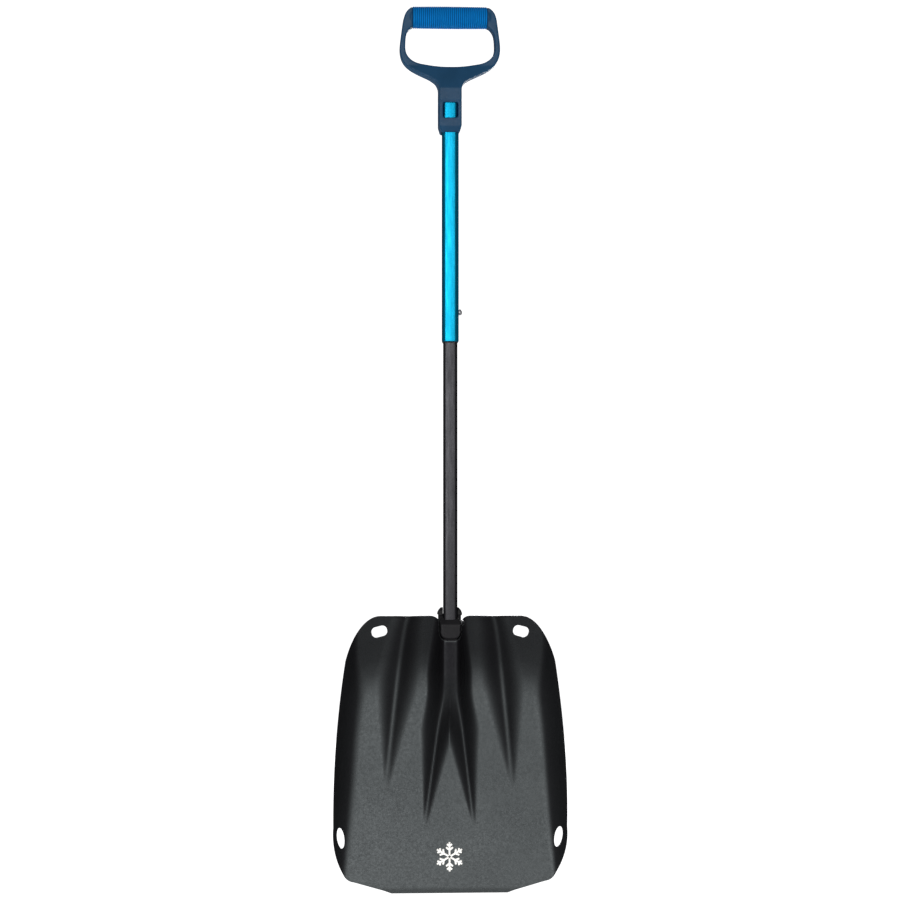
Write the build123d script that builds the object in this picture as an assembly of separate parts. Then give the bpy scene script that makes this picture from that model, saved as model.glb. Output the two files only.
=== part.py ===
from build123d import *
from math import atan2, degrees, hypot
import os

# Telescoping avalanche shovel: D-handle with a ribbed grip, two-part shaft, pressed blade.
# Units are millimetres. The origin is the centre of the hand grip, +Z runs up the shaft
# towards the grip, and the open side of the scoop faces -Y. The shaft's axis is X = Y = 0.

# ---- grip and D-handle -------------------------------------------------------------------
GRIP_HALF_LENGTH = 38.2
GRIP_RADIUS = 11.7
GRIP_WAIST_CUT = 0.35          # how much smaller the sleeve is at its ends
GRIP_RIBS = 36
GRIP_RIB_DEPTH = 0.55
CORE_RADIUS = 8.0
SHOULDER_RADIUS = 10.6
SHOULDER_WIDTH = 2.4
LOOP_HALF_DEPTH = 9.5
NECK_HALF_WIDTH = 11.5
NECK_HALF_DEPTH = 17.0
NECK_TOP = -74.0
NECK_SHOULDER = -112.4
NECK_BOTTOM = -119.6
NECK_BOTTOM_HALF_WIDTH = 9.4
WINDOW_TOP = -88.6
WINDOW_BOTTOM = -104.2
WINDOW_HALF_WIDTH = 7.7
WINDOW_CORNER = 1.5
SIDE_WINDOW_BOTTOM = -97.5
NECK_GROOVES = (-87.2, -105.9)  # parting grooves around the neck, above and below the window
GROOVE_WIDTH = 0.9
GROOVE_DEPTH = 0.7
RIVET_HEIGHT = -110.0

# ---- shaft ---------------------------------------------------------------------------------
SHAFT_FRONT_HALF = 9.0
SHAFT_BACK_HALF = 7.3
SHAFT_HALF_DEPTH = 14.0
SHAFT_CORNER = 4.6
WALL = 1.15
SLIDE_GAP = 0.2
UPPER_TUBE_TOP = NECK_TOP
UPPER_TUBE_BOTTOM = -334.0
MOUTH_RING = 0.8
LOWER_TUBE_TOP = -290.0
LOWER_TUBE_BOTTOM = -663.0
PLUG_DEPTH = 7.0
PLUG_RIM = 2.5

# ---- snap buttons --------------------------------------------------------------------------
UPPER_BUTTON_HEIGHT = -303.2
COLLAPSED_BUTTON_HEIGHT = -92.2
LOWER_BUTTON_HEIGHT = -622.2
BUTTON_RADIUS = 3.1
BUTTON_HOLE_RADIUS = 3.4
BUTTON_TIP = 12.9
BUTTON_FLANGE_X = 3.6
BUTTON_FLANGE_RADIUS = 4.2
BUTTON_FLANGE = 0.8
CLIP_THICKNESS = 0.6
CLIP_HALF_WIDTH = 3.6
CLIP_LENGTH = 34.0
CLIP_FAR_SIDE = -4.2

# ---- blade ---------------------------------------------------------------------------------
BLADE_TOP = -615.0
BLADE_BOTTOM = -901.5
BLADE_HALF_WIDTH = 120.2
BLADE_BASE = 7.0               # Y of the flat floor's front face
SHEET = 2.0
CHANNEL_HEIGHT = 24.0
CHANNEL_END = -850.0
CHANNEL_SPLIT = -677.0
SPREAD_START = -700.0          # below this the two ribs under the channel part
CREST_HALF_WIDTH = 8.6
CHANNEL_TIP_X = 27.5
CHANNEL_STATIONS = (-600.0, -677.0, -700.0, -765.0, -848.0)
VALLEY_SLOPE = 0.93
CHANNEL_FLANK = 2.22
FLANK_EASING = 0.97            # the two ribs have gentler outer flanks than the channel
RIB_HEIGHT = 10.5               # above the floor, where a rib is highest
RIB_PEAK = -686.0
RIB_END = -806.0
RIB_FALL = 0.05                # how fast a rib sinks into the tilted top above its peak
RIB_TOP = -618.0
RIB_LENGTH = 178.0
RIB_FLANK = 0.62
RIB_START = 44.0
RIB_SPREAD = 21.5
RIB_STATIONS = (-600.0, -667.0, -686.0, -740.0, -805.0)
TILT_SLOPE = 0.30
TILT_START = -667.0
TIP_START = -800.0
TIP_SLOPE = 0.06
WALL_FOLDS = (                 # fold lines (X, Z) of the side walls, and each wall's slope
    ((76.0, -606.0), (89.0, -680.0), 1.15),
    ((89.0, -680.0), (101.0, -770.0), 1.45),
    ((101.0, -770.0), (106.5, -901.0), 1.7),
)
NOTCH_BOTTOM = -640.8
NOTCH_HALF_WIDTH = 11.3
NOTCH_MOUTH_HALF_WIDTH = 11.9
NOTCH_CORNER = 8.0
BUTTON_RELIEF_X = 10.4         # the notch widens here so that a finger reaches the button
BUTTON_RELIEF_RADIUS = 3.7
TOP_HOLE_X = 72.8              # four lash holes: two rounded slots above, two ovals below
TOP_HOLE_Z = -631.2
TOP_HOLE_LENGTH = 16.2
TOP_HOLE_WIDTH = 11.0
TOP_HOLE_CORNER = 4.9
TOP_HOLE_TILT = 14.0
LOW_HOLE_X = 112.3
LOW_HOLE_Z = -843.8
LOW_HOLE_HALF_WIDTH = 3.7
LOW_HOLE_HALF_HEIGHT = 11.0
LOW_HOLE_TILT = 9.0

# ---- socket --------------------------------------------------------------------------------
COLLAR_FRONT = -14.6
COLLAR_BACK = 14.9
COLLAR_HALF_WIDTH = 11.4
COLLAR_FRONT_HALF_WIDTH = 7.0
COLLAR_TIP = -607.0
COLLAR_FRONT_RIM = -624.0
EAR_HALF_WIDTH = 12.5
EAR_FOOT = -614.6
COLLAR_BOTTOM = -672.0
COLLAR_BACK_DIP = -614.0
BORE_GAP = 0.25
BOSS_FRONT = -16.4
BOSS_BOTTOM = -638.5
PLATE_TOP = -622.0
PLATE_BOTTOM = -724.0
PLATE_HALF_WIDTH = 30.0
PLATE_BOX_HALF = 22.3
PLATE_BOX_BOTTOM = -712.0
PLATE_BULGE = 15.2
PLATE_SHEET = 1.8
RIVET_HEIGHTS = (-632.0, -658.0)
WELD_HEIGHTS = (-640.0, -672.0, -704.0)
WELD_LENGTH = 15.0
WELD_RADIUS = 1.9

os.makedirs("parts", exist_ok=True)


# ---- sections and small tools --------------------------------------------------------------
def shaft_section(inset):
    """The shaft's rounded trapezoid, wider in front, drawn in by inset on every side."""
    corners = [
        (-SHAFT_FRONT_HALF, -SHAFT_HALF_DEPTH),
        (SHAFT_FRONT_HALF, -SHAFT_HALF_DEPTH),
        (SHAFT_BACK_HALF, SHAFT_HALF_DEPTH),
        (-SHAFT_BACK_HALF, SHAFT_HALF_DEPTH),
    ]
    outline = make_face(Polyline(*corners, close=True))
    outline = fillet(outline.vertices(), SHAFT_CORNER)
    return offset(outline, amount=-inset) if inset else outline


def shaft_length(bottom, top, inset):
    """A solid length of the shaft's section."""
    return Pos(0, 0, bottom) * extrude(shaft_section(inset), amount=top - bottom)


def across_x(start, end, height, radius, y=0.0):
    """A cylinder along X from start to end."""
    middle = (start + end) / 2
    return Pos(middle, y, height) * Rot(0, 90, 0) * Cylinder(radius, end - start)


def across_y(start, end, height, radius, x=0.0):
    """A cylinder along Y from start to end."""
    middle = (start + end) / 2
    return Pos(x, middle, height) * Rot(90, 0, 0) * Cylinder(radius, end - start)


def block(x0, x1, y0, y1, z0, z1):
    """A box between two corners."""
    centre = Pos((x0 + x1) / 2, (y0 + y1) / 2, (z0 + z1) / 2)
    return centre * Box(x1 - x0, y1 - y0, z1 - z0)


def front_prism(face, y0, y1):
    """A face drawn in X and Z, extruded along Y from y0 to y1."""
    return Pos(0, y1, 0) * extrude(Plane.XZ * face, amount=y1 - y0)


def mirrored(half):
    """A half shape joined with its mirror image in X."""
    return half + mirror(half, Plane.YZ)


def save(shape, node):
    """Write one piece."""
    export_step(shape, f"parts/{node}.step")


# ---- D-handle ------------------------------------------------------------------------------
def handle_outline():
    """Outer outline of the loop and neck, right half."""
    arm = Spline(
        (39.5, 9.6), (45.6, 4.0), (48.6, -7.0), (50.6, -22.0), (51.4, -36.0), (47.6, -47.4),
        (37.4, -55.8), (24.4, -61.7), (14.6, -67.8), (NECK_HALF_WIDTH, -78.0),
    )
    top = Line((0, 9.6), arm @ 0)
    side = Polyline(arm @ 1, (NECK_HALF_WIDTH, NECK_SHOULDER),
                    (NECK_BOTTOM_HALF_WIDTH, NECK_BOTTOM), (0, NECK_BOTTOM))
    axis = Line((0, NECK_BOTTOM), (0, 9.6))
    return make_face([top, arm, *side.edges(), axis])


def opening_outline():
    """Outline of the hand opening, right half."""
    curve = Spline(
        (39.6, -10.8), (44.2, -16.5), (46.0, -27.0), (44.9, -38.0), (37.6, -45.8),
        (25.6, -49.2), (12.8, -51.0), (0, -51.5),
    )
    return make_face([Line((0, -10.8), curve @ 0), curve, Line(curve @ 1, (0, -10.8))])


def make_handle_frame():
    """Loop, arms, neck and the core that the grip sleeve sits on."""
    body = front_prism(mirrored(handle_outline()), -NECK_HALF_DEPTH, NECK_HALF_DEPTH)
    side_points = [
        (LOOP_HALF_DEPTH, 12), (LOOP_HALF_DEPTH, -50), (NECK_HALF_DEPTH, NECK_TOP),
        (NECK_HALF_DEPTH, NECK_SHOULDER), (NECK_HALF_DEPTH - 2.2, NECK_BOTTOM - 1),
    ]
    mirrored_points = [(-y, z) for y, z in reversed(side_points)]
    side = make_face(Polyline(*side_points, *mirrored_points, close=True))
    body &= Pos(-60, 0, 0) * extrude(Plane.YZ * side, amount=120)
    depth = NECK_HALF_DEPTH + 1
    body -= front_prism(mirrored(opening_outline()), -depth, depth)
    body -= block(-GRIP_HALF_LENGTH, GRIP_HALF_LENGTH, -20, 20, -11.0, 20)
    body += across_x(-GRIP_HALF_LENGTH - 1, GRIP_HALF_LENGTH + 1, 0, CORE_RADIUS)
    shoulder_end = GRIP_HALF_LENGTH + SHOULDER_WIDTH
    for side in (-1, 1):
        ends = sorted((side * GRIP_HALF_LENGTH, side * shoulder_end))
        body += across_x(*ends, 0, SHOULDER_RADIUS)
    body -= shaft_length(NECK_BOTTOM - 1, UPPER_TUBE_TOP, 0)
    window = RectangleRounded(2 * WINDOW_HALF_WIDTH, WINDOW_TOP - WINDOW_BOTTOM,
                               WINDOW_CORNER)
    body -= front_prism(Pos(0, (WINDOW_TOP + WINDOW_BOTTOM) / 2) * window, -20, 0)
    body -= block(-20, 20, -6, 6, SIDE_WINDOW_BOTTOM, WINDOW_TOP)
    inner_x = NECK_HALF_WIDTH - GROOVE_DEPTH
    inner_y = NECK_HALF_DEPTH - GROOVE_DEPTH
    for height in NECK_GROOVES:
        top = height + GROOVE_WIDTH
        body -= (block(-20, 20, -20, 20, height, top)
                 - block(-inner_x, inner_x, -inner_y, inner_y, height - 1, top + 1))
    return body - across_y(0, 20, RIVET_HEIGHT, 2.5)


def make_grip_sleeve():
    """Rubber sleeve with fine ribs around it."""
    pitch = 2 * GRIP_HALF_LENGTH / GRIP_RIBS
    points = [(-GRIP_HALF_LENGTH, CORE_RADIUS)]
    for rib in range(GRIP_RIBS):
        start = -GRIP_HALF_LENGTH + rib * pitch
        middle = start + pitch / 2
        crown = GRIP_RADIUS - GRIP_WAIST_CUT * (middle / GRIP_HALF_LENGTH) ** 2
        points += [(start, crown - GRIP_RIB_DEPTH), (start + 0.3 * pitch, crown),
                   (start + 0.7 * pitch, crown)]
    points += [(GRIP_HALF_LENGTH, crown - GRIP_RIB_DEPTH), (GRIP_HALF_LENGTH, CORE_RADIUS)]
    profile = make_face(Polyline(*points, close=True))
    return revolve(profile, Axis.X, 360)


def make_handle_rivet():
    """Rivet through the back wall of the neck and of the upper tube."""
    inner = SHAFT_HALF_DEPTH - WALL
    shank = across_y(inner, NECK_HALF_DEPTH, RIVET_HEIGHT, 2.5)
    return shank + across_y(NECK_HALF_DEPTH, NECK_HALF_DEPTH + 1.6, RIVET_HEIGHT, 4.2)


# ---- shaft ---------------------------------------------------------------------------------
def make_upper_tube():
    """Outer tube with a button hole near its mouth and one at the collapsed position."""
    body = shaft_length(UPPER_TUBE_BOTTOM, UPPER_TUBE_TOP, 0)
    body -= shaft_length(UPPER_TUBE_BOTTOM - 1, UPPER_TUBE_TOP + 1, WALL)
    for height in (UPPER_BUTTON_HEIGHT, COLLAPSED_BUTTON_HEIGHT):
        body -= across_x(2, 20, height, BUTTON_HOLE_RADIUS)
    return body - across_y(5, 20, RIVET_HEIGHT, 2.5)


def make_mouth_bushing():
    """Plastic ring at the upper tube's mouth."""
    ring_bottom = UPPER_TUBE_BOTTOM - MOUTH_RING
    ring = shaft_length(ring_bottom, UPPER_TUBE_BOTTOM, 0.6)
    return ring - shaft_length(ring_bottom - 1, UPPER_TUBE_BOTTOM + 1, WALL + 0.05)


def make_lower_tube():
    """Inner tube with a button hole near each end."""
    outer = WALL + SLIDE_GAP
    body = shaft_length(LOWER_TUBE_BOTTOM, LOWER_TUBE_TOP, outer)
    body -= shaft_length(LOWER_TUBE_BOTTOM - 1, LOWER_TUBE_TOP + 1, outer + WALL)
    for height in (UPPER_BUTTON_HEIGHT, LOWER_BUTTON_HEIGHT):
        body -= across_x(2, 20, height, BUTTON_HOLE_RADIUS)
    return body


def make_end_fitting(end, direction):
    """Plug pressed into one end of the lower tube, with a rim over the tube's edge."""
    outer = WALL + SLIDE_GAP
    bore = shaft_length(*sorted((end - direction * PLUG_DEPTH, end)), outer + WALL)
    rim = shaft_length(*sorted((end, end + direction * PLUG_RIM)), outer)
    hollow = shaft_length(end - 20, end + 20, outer + WALL + 1.6)
    return bore + rim - hollow


def make_snap_button(height):
    """Pin with a domed tip and a flange that stays inside the tube."""
    dome = 1.9
    pin = across_x(BUTTON_FLANGE_X, BUTTON_TIP, height, BUTTON_RADIUS)
    tip = pin.edges().filter_by(GeomType.CIRCLE).sort_by(Axis.X)[-1]
    pin = fillet(tip, dome)
    flange_end = BUTTON_FLANGE_X + BUTTON_FLANGE
    return pin + across_x(BUTTON_FLANGE_X, flange_end, height, BUTTON_FLANGE_RADIUS)


def make_spring_clip(height):
    """Folded leaf spring inside the lower tube, with one leg behind the button."""
    leg_x = BUTTON_FLANGE_X - CLIP_THICKNESS
    top = height + CLIP_HALF_WIDTH + 1.5
    bottom = top - CLIP_LENGTH
    width = CLIP_HALF_WIDTH
    leg = block(leg_x, BUTTON_FLANGE_X, -width, width, bottom, top)
    far_leg = block(CLIP_FAR_SIDE - CLIP_THICKNESS, CLIP_FAR_SIDE, -width, width,
                    bottom, top - 8)
    bend = block(CLIP_FAR_SIDE - CLIP_THICKNESS, BUTTON_FLANGE_X, -width, width,
                 bottom - CLIP_THICKNESS, bottom)
    return leg + far_leg + bend


# ---- blade ---------------------------------------------------------------------------------
def pan_faces():
    """Faces of the scoop without its ribs: a point on each, and its backward direction."""
    faces = [
        (Vector(0, BLADE_BASE, -740), Vector(0, 1, 0)),
        (Vector(0, BLADE_BASE, TILT_START), Vector(0, 1, TILT_SLOPE)),
        (Vector(0, BLADE_BASE, TIP_START), Vector(0, 1, -TIP_SLOPE)),
    ]
    for side in (-1, 1):
        for (x0, z0), (x1, z1), slope in WALL_FOLDS:
            length = hypot(x1 - x0, z1 - z0)
            across = slope * (z0 - z1) / length
            along = slope * (x1 - x0) / length
            faces.append((Vector(side * x0, BLADE_BASE, z0), Vector(side * across, 1, along)))
    return faces


def in_front_of_pan(behind):
    """Everything in front of the scoop's faces, moved back by the distance behind."""
    region = block(-150, 150, -60, 40, BLADE_BOTTOM - 20, BLADE_TOP + 20)
    for point, direction in pan_faces():
        away = direction.normalized()
        region = region.split(Plane(point + away * behind, z_dir=away), Keep.BOTTOM)
    return region


def wedge(sections):
    """A ridge through polygons drawn at given heights, each joined to the next."""
    solid = None
    for (z0, lower), (z1, upper) in zip(sections, sections[1:]):
        faces = [make_face(Pos(0, 0, z) * Polyline(*points, close=True))
                 for z, points in ((z0, lower), (z1, upper))]
        piece = loft(faces, ruled=True)
        solid = piece if solid is None else solid + piece
    return solid


def centre_sections(shrink, floor):
    """Half of the channel and one of its two ribs, drawn in by shrink, down to Y = floor."""
    sections = []
    fall = CHANNEL_HEIGHT / (CHANNEL_SPLIT - CHANNEL_END)
    spread = (CHANNEL_TIP_X - CREST_HALF_WIDTH) / (SPREAD_START - CHANNEL_END)
    for z in CHANNEL_STATIONS:
        below = max(0.0, CHANNEL_SPLIT - z)
        crest_y = BLADE_BASE - CHANNEL_HEIGHT + fall * below + shrink
        crest_x = CREST_HALF_WIDTH + spread * max(0.0, SPREAD_START - z)
        inner_slope = VALLEY_SLOPE if below else 0.0
        reach = (BLADE_BASE - crest_y + shrink) / VALLEY_SLOPE
        inner_x = max(0.0, crest_x - 1.8 - reach) if below else 0.0
        slope = CHANNEL_FLANK - FLANK_EASING * min(below / 60, 1.0)
        flank = (floor - crest_y + shrink) / slope
        side = crest_x + 0.8 - shrink * 1.1
        peak = min(crest_x - 0.8, side - 0.4)
        inner_x = min(inner_x, peak - 0.4)
        inner_y = min(crest_y + (peak - inner_x) * inner_slope, floor - 0.2)
        sections.append((z, [(inner_x, floor), (inner_x, inner_y), (peak, crest_y),
                             (side, crest_y), (side + flank, floor)]))
    return sections


def rib_sections(shrink, floor):
    """One outer rib, drawn in by shrink, down to Y = floor."""
    sections = []
    for z in RIB_STATIONS:
        along = (RIB_TOP - z) / RIB_LENGTH
        height = RIB_HEIGHT * min(1.0, (z - RIB_END) / (RIB_PEAK - RIB_END))
        height += TILT_SLOPE * max(0.0, z - TILT_START) - RIB_FALL * max(0.0, z - RIB_PEAK)
        crest_y = BLADE_BASE - height + shrink * 1.18
        crest_x = RIB_START + RIB_SPREAD * max(along, 0.0) ** 0.75
        half = max(floor - crest_y, 0.3) / RIB_FLANK
        sections.append((z, [(crest_x - half, floor), (crest_x, crest_y), (crest_x + half, floor)]))
    return sections


def blade_outline():
    """Outline of the blade seen from the front, without its holes."""
    shoulder = Spline(
        (72, BLADE_TOP), (85, -618.4), (94.8, -629.5), (102.2, -644.5), (107.8, -661.4),
        tangents=((1, 0), (0.26, -1)),
    )
    side = ThreePointArc(shoulder @ 1, (115.8, -726), (BLADE_HALF_WIDTH, -832))
    lower = ThreePointArc(side @ 1, (118, -860), (109.3, -882.5))
    corner = ThreePointArc(lower @ 1, (105.6, -887.2), (99, -889.8))
    edge = Polyline(corner @ 1, (68, -898.6), (60, BLADE_BOTTOM), (0, BLADE_BOTTOM))
    top = Line((0, BLADE_TOP), shoulder @ 0)
    axis = Line((0, BLADE_BOTTOM), (0, BLADE_TOP))
    return mirrored(make_face([top, shoulder, side, lower, corner, *edge.edges(), axis]))


def notch_outline():
    """U-shaped notch at the top of the blade that the collar shows through."""
    height = 60
    centre = NOTCH_BOTTOM + height / 2
    notch = Pos(0, centre) * RectangleRounded(2 * NOTCH_HALF_WIDTH, height, NOTCH_CORNER)
    mouth = NOTCH_MOUTH_HALF_WIDTH
    right = Polyline((0, -632), (NOTCH_HALF_WIDTH, -632), (mouth, -619.5))
    shoulder = ThreePointArc((mouth, -619.5), (mouth + 2.6, -616.9), (mouth + 9.0, BLADE_TOP))
    rest = Polyline((mouth + 9.0, BLADE_TOP), (mouth + 9.0, -605), (0, -605), (0, -632))
    notch += mirrored(make_face([*right.edges(), shoulder, *rest.edges()]))
    return notch + Pos(BUTTON_RELIEF_X, LOWER_BUTTON_HEIGHT) * Circle(BUTTON_RELIEF_RADIUS)


def make_blade():
    """Pressed sheet: the scoop's faces, hollow ribs, the notch and the four lash holes."""
    outline = blade_outline() - notch_outline()
    for side in (-1, 1):
        upper = RectangleRounded(TOP_HOLE_LENGTH, TOP_HOLE_WIDTH, TOP_HOLE_CORNER)
        outline -= Pos(side * TOP_HOLE_X, TOP_HOLE_Z) * Rot(0, 0, -side * TOP_HOLE_TILT) * upper
        lower = Ellipse(LOW_HOLE_HALF_WIDTH, LOW_HOLE_HALF_HEIGHT)
        outline -= Pos(side * LOW_HOLE_X, LOW_HOLE_Z) * Rot(0, 0, -side * LOW_HOLE_TILT) * lower
    prism = front_prism(outline, -80, 60)
    back_region = in_front_of_pan(SHEET)
    sheet = (back_region - in_front_of_pan(0)) & prism
    ridges = mirrored(wedge(centre_sections(0, 12)) + wedge(rib_sections(0, 12)))
    hollows = mirrored(wedge(centre_sections(SHEET, 14)) + wedge(rib_sections(SHEET, 14)))
    sheet = sheet + ((ridges & back_region) & prism) - hollows
    sheet -= across_x(6, 24, LOWER_BUTTON_HEIGHT, 3.9)
    return max(sheet.solids(), key=lambda solid: solid.volume)


def make_socket_plate():
    """Formed plate behind the blade that closes the socket: a shallow box with flanges."""
    middle = (PLATE_TOP + PLATE_BOTTOM) / 2
    outline = Pos(0, middle) * RectangleRounded(2 * PLATE_HALF_WIDTH, PLATE_TOP - PLATE_BOTTOM, 9)
    flange = in_front_of_pan(SHEET + 0.1 + PLATE_SHEET) & front_prism(outline, -40, 40)
    half = PLATE_BOX_HALF
    back = PLATE_BULGE + PLATE_SHEET
    box = block(-half, half, -40, back, PLATE_BOX_BOTTOM, PLATE_TOP)
    box = fillet(box.edges().filter_by(Axis.Z).group_by(Axis.Y)[-1], 4)
    inside = half - PLATE_SHEET
    hollow = block(-inside, inside, -40, PLATE_BULGE, PLATE_BOX_BOTTOM + PLATE_SHEET, -600)
    hollow = fillet(hollow.edges().filter_by(Axis.Z).group_by(Axis.Y)[-1], 2.5)
    plate = flange + box - hollow - in_front_of_pan(SHEET + 0.1)
    for height in RIVET_HEIGHTS:
        plate -= across_y(5, 30, height, 2.0)
    return max(plate.solids(), key=lambda solid: solid.volume)


def blade_back_depth(x, z):
    """Y of the flat or tilted back of the blade beside the socket."""
    tilt = max(0.0, TILT_SLOPE * (z - TILT_START))
    return BLADE_BASE + SHEET * 1.03 - tilt


# ---- collar --------------------------------------------------------------------------------
def make_socket_collar():
    """Moulded liner of the socket, with a raised ear at each side and a boss in the notch."""
    slope = COLLAR_FRONT + (COLLAR_HALF_WIDTH - COLLAR_FRONT_HALF_WIDTH) * CHANNEL_FLANK
    section = make_face(Polyline(
        (-COLLAR_FRONT_HALF_WIDTH, COLLAR_FRONT), (COLLAR_FRONT_HALF_WIDTH, COLLAR_FRONT),
        (COLLAR_HALF_WIDTH, slope), (COLLAR_HALF_WIDTH, COLLAR_BACK),
        (-COLLAR_HALF_WIDTH, COLLAR_BACK), (-COLLAR_HALF_WIDTH, slope), close=True))
    section = fillet(section.vertices(), 1.5)
    height = COLLAR_TIP - COLLAR_BOTTOM
    body = Pos(0, 0, COLLAR_BOTTOM) * extrude(section, amount=height)
    boss_height = COLLAR_FRONT_RIM - BOSS_BOTTOM
    boss = Pos(0, (COLLAR_FRONT_RIM + BOSS_BOTTOM) / 2 + 4) * RectangleRounded(
        20.4, boss_height + 8, 7)
    body += front_prism(boss, BOSS_FRONT, -6)
    ear = Spline((EAR_HALF_WIDTH, EAR_FOOT), (EAR_HALF_WIDTH - 0.6, EAR_FOOT + 3.6), (9.0, COLLAR_TIP))
    ear = make_face([Line((0, EAR_FOOT), ear @ 0), ear, Line(ear @ 1, (0, COLLAR_TIP)),
                     Line((0, COLLAR_TIP), (0, EAR_FOOT))])
    body &= block(-20, 20, -30, 30, COLLAR_BOTTOM - 1, EAR_FOOT)
    body += front_prism(mirrored(ear), -7, 13)
    cutter = make_face(Polyline((BOSS_FRONT - 2, COLLAR_FRONT_RIM), (BOSS_FRONT, COLLAR_FRONT_RIM),
                                (-5, COLLAR_TIP), (4, COLLAR_TIP), (12, COLLAR_BACK_DIP),
                                (20, COLLAR_BACK_DIP), (20, -590),
                                (BOSS_FRONT - 2, -590), close=True))
    body -= Pos(-30, 0, 0) * extrude(Plane.YZ * cutter, amount=60)
    body -= block(-8, 8, 5, 20, COLLAR_BACK_DIP, -590)
    body -= shaft_length(COLLAR_BOTTOM - 1, -590, WALL + SLIDE_GAP - BORE_GAP)
    body -= across_x(2, 20, LOWER_BUTTON_HEIGHT, BUTTON_HOLE_RADIUS + 0.2)
    for rivet in RIVET_HEIGHTS:
        body -= across_y(0, 20, rivet, 2.0)
    return body


def make_collar_rivets():
    """Two rivets that hold the collar to the plate."""
    inner = SHAFT_HALF_DEPTH - WALL - SLIDE_GAP + BORE_GAP
    outer = PLATE_BULGE + PLATE_SHEET
    pair = []
    for height in RIVET_HEIGHTS:
        shank = across_y(inner + 0.1, outer, height, 2.0)
        pair.append(shank + across_y(outer, outer + 1.5, height, 3.8))
    return Compound(children=pair)


def make_socket_welds():
    """Short weld beads along both edges of the plate."""
    beads = []
    for side in (-1, 1):
        for z in WELD_HEIGHTS:
            x = side * (PLATE_HALF_WIDTH + WELD_RADIUS + 0.1)
            half = WELD_LENGTH / 2
            rise = blade_back_depth(x, z - half) - blade_back_depth(x, z + half)
            bead = Cylinder(WELD_RADIUS, WELD_LENGTH)
            bead = fillet(bead.edges().filter_by(GeomType.CIRCLE), WELD_RADIUS * 0.7)
            lean = degrees(atan2(rise, WELD_LENGTH))
            place = Pos(x, blade_back_depth(x, z) + WELD_RADIUS + 0.3, z)
            beads.append(place * Rot(lean, 0, 0) * bead)
    return Compound(children=beads)


save(make_handle_frame(), "handle_frame")
save(make_grip_sleeve(), "grip_sleeve")
save(make_handle_rivet(), "handle_rivet")
save(make_upper_tube(), "upper_tube")
save(make_mouth_bushing(), "mouth_bushing")
save(make_lower_tube(), "lower_tube")
save(make_end_fitting(LOWER_TUBE_TOP, 1), "guide_plug")
save(make_end_fitting(LOWER_TUBE_BOTTOM, -1), "end_plug")
save(make_snap_button(UPPER_BUTTON_HEIGHT), "upper_snap_button")
save(make_snap_button(LOWER_BUTTON_HEIGHT), "lower_snap_button")
save(make_spring_clip(UPPER_BUTTON_HEIGHT), "upper_spring_clip")
save(make_spring_clip(LOWER_BUTTON_HEIGHT), "lower_spring_clip")
save(make_blade(), "blade")
save(make_socket_plate(), "socket_plate")
save(make_socket_collar(), "socket_collar")
save(make_collar_rivets(), "collar_rivets")
save(make_socket_welds(), "socket_welds")
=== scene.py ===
from math import atan2, cos, exp, hypot, pi, radians, sin, tan

import bmesh
import bpy
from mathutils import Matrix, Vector


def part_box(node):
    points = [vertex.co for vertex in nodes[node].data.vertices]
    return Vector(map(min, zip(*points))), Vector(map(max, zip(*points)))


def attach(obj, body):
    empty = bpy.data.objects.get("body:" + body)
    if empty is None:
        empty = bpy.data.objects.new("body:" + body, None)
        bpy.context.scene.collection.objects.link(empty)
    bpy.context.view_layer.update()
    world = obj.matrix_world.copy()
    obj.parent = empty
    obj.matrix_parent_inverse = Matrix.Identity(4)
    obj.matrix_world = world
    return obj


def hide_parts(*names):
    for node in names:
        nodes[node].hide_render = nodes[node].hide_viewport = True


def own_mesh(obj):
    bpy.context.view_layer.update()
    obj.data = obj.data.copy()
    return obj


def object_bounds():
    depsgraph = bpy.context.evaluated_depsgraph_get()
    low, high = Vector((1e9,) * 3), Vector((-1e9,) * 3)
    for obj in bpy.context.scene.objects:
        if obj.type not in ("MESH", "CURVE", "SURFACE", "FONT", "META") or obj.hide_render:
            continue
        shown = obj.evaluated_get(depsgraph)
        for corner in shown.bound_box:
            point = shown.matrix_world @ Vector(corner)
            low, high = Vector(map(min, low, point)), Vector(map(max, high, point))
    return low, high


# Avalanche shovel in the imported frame. Shapes below are worked out in millimetres from the
# same dimensions as the CAD model, and turned into metres when a mesh is made.

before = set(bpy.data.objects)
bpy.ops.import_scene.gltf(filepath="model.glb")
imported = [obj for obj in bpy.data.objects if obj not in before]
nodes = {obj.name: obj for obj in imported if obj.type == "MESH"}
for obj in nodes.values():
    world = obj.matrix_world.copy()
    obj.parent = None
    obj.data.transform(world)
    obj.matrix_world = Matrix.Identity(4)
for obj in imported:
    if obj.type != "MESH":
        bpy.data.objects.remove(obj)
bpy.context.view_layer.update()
MM = 0.001


def limits(node):
    """Lowest and highest corner of a CAD node, in millimetres."""
    low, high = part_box(node)
    return Vector(low) / MM, Vector(high) / MM


# ---- dimensions ----------------------------------------------------------------------------
blade_low, blade_high = limits("blade")
BLADE_TOP = blade_high.z
BLADE_BOTTOM = blade_low.z
BLADE_BASE = 7.0               # Y of the flat floor's front face
SHEET = 2.0
TILT_SLOPE = 0.32              # the top leans forward
TILT_START = -667.0
TIP_SLOPE = 0.06               # the tip rises
TIP_START = -800.0
LIP_SLOPE = 0.15               # the bevelled edge falls away
LIP_START = -896.8
FOLD_X = 107.5                 # the side walls' fold, low down, and how far it comes in above
FOLD_INWARD = 29.5
FOLD_FADE = 92.0
WALL_START = -640.0
WALL_SLOPE = 1.05
WALL_STEEPENING = 0.65
CHANNEL_HEIGHT = 24.0
CHANNEL_SPLIT = -677.0         # below this the channel sinks and divides into two ribs
CHANNEL_END = -850.0
CHANNEL_SAG = 1.6
CHANNEL_FLANK = 2.22
FLANK_EASING = 0.97
CREST_HALF_WIDTH = 8.6
SPREAD_START = -700.0
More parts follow.
